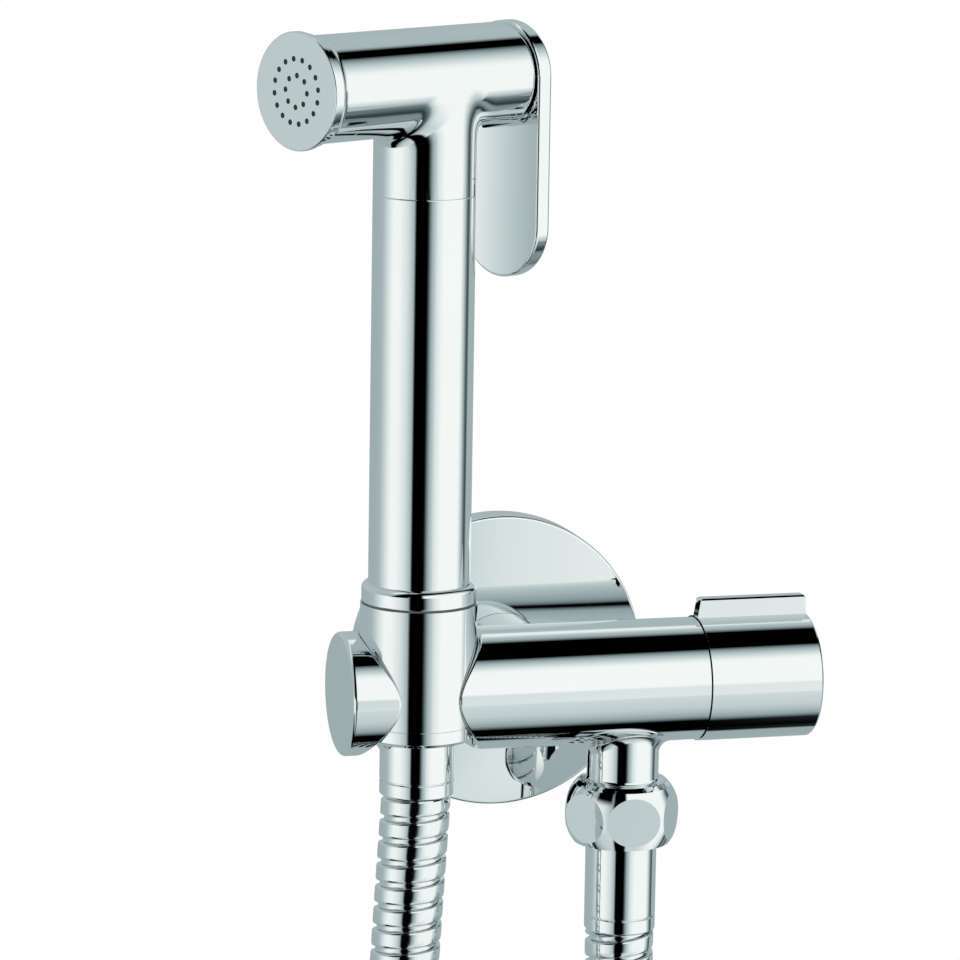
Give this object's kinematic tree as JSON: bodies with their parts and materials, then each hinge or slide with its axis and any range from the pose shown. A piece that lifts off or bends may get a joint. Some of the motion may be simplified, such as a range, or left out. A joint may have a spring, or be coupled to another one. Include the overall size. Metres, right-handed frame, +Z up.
{
  "type": "bidet shower kit",
  "caption": "Wall-fed bidet shower: hand spray with a rear lever in a cup on a quarter-turn stop valve, with a round wall flange and a ribbed metal hose.",
  "frame": {"origin": "on the wall's face, on the axis of the threaded inlet", "axes": "+X along the valve to its knob, +Y into the wall along the inlet, +Z up along the handle"},
  "size_m": [0.2019, 0.0805, 0.6386],
  "materials": {
    "chrome": "polished chrome plate",
    "chrome_flange": "chrome with fine upright brushing",
    "hose_metal": "bright ribbed metal",
    "brass": "machined",
    "steel": "stainless",
    "rubber": "black seal rubber",
    "foam": "closed-cell foam",
    "liner_plastic": "black",
    "white_plastic": "moulded",
    "ceramic": "lapped ceramic"
  },
  "bodies": {
    "wall_unit": {"escutcheon": "chrome_flange", "wall_gasket": "foam", "valve_body": "chrome", "inlet_connector": "brass", "inlet_strainer": "white_plastic", "check_valve": "white_plastic", "holder_cup": "chrome", "cup_liner": "liner_plastic", "cup_lower_ring": "chrome", "end_cap": "chrome", "cartridge_body": "brass", "cartridge_seal": "rubber", "cartridge_oring": "rubber", "ceramic_disc_fixed": "ceramic", "outlet_nut": "chrome", "outlet_washer": "rubber", "outlet_tail": "brass", "outlet_ferrule": "chrome", "hose": "hose_metal"},
    "knob": {"knob": "chrome", "knob_screw": "steel", "cartridge_stem": "brass", "ceramic_disc_moving": "ceramic", "stem_oring": "rubber", "stem_clip": "steel"},
    "hose_end": {"handset_ferrule": "chrome", "handset_tail": "brass"},
    "handset": {"handset_nut": "brass", "handset_washer": "rubber", "handset_connector": "brass", "connector_oring": "rubber", "collar": "chrome", "handle_tube": "chrome", "head_oring": "rubber", "head_body": "chrome", "face_ring": "chrome", "face_seal": "rubber", "spray_face": "chrome", "spreader": "white_plastic", "valve_seat": "brass", "spring": "steel", "gland_nut": "brass", "gland_oring": "rubber", "lever_pin": "steel"},
    "lever": {"lever": "chrome"},
    "plunger": {"plunger": "brass", "plunger_washer": "rubber"}
  },
  "joints": [
    {"name": "knob_turn", "type": "hinge", "parent": "wall_unit", "child": "knob", "pos_m": [0.055, -0.0343, 0], "axis": [1, 0, 0], "range_deg": [0, 90]},
    {"name": "handset_lift", "type": "slide", "parent": "wall_unit", "child": "hose_end", "axis": [0, 0, 1], "range_m": [0, 0.05]},
    {"name": "handset_swivel", "type": "hinge", "parent": "hose_end", "child": "handset", "pos_m": [-0.0282, -0.0367, 0.0223], "axis": [0, 0, 1], "continuous": true},
    {"name": "lever_press", "type": "hinge", "parent": "handset", "child": "lever", "pos_m": [-0.00925, -0.02633, 0.1356], "axis": [-0.4802, 0.8771, 0], "range_deg": [0, 6], "stiffness_Nm_per_rad": 0.8, "springref_deg": -4.58},
    {"name": "plunger_slide", "type": "slide", "parent": "handset", "child": "plunger", "axis": [0.8771, 0.4802, 0], "range_m": [0, 0.0012], "deforming": ["spring"]}
  ],
  "couplings": [
    {"joint": "plunger_slide", "follows": "lever_press", "m_per_rad": 0.0086}
  ]
}
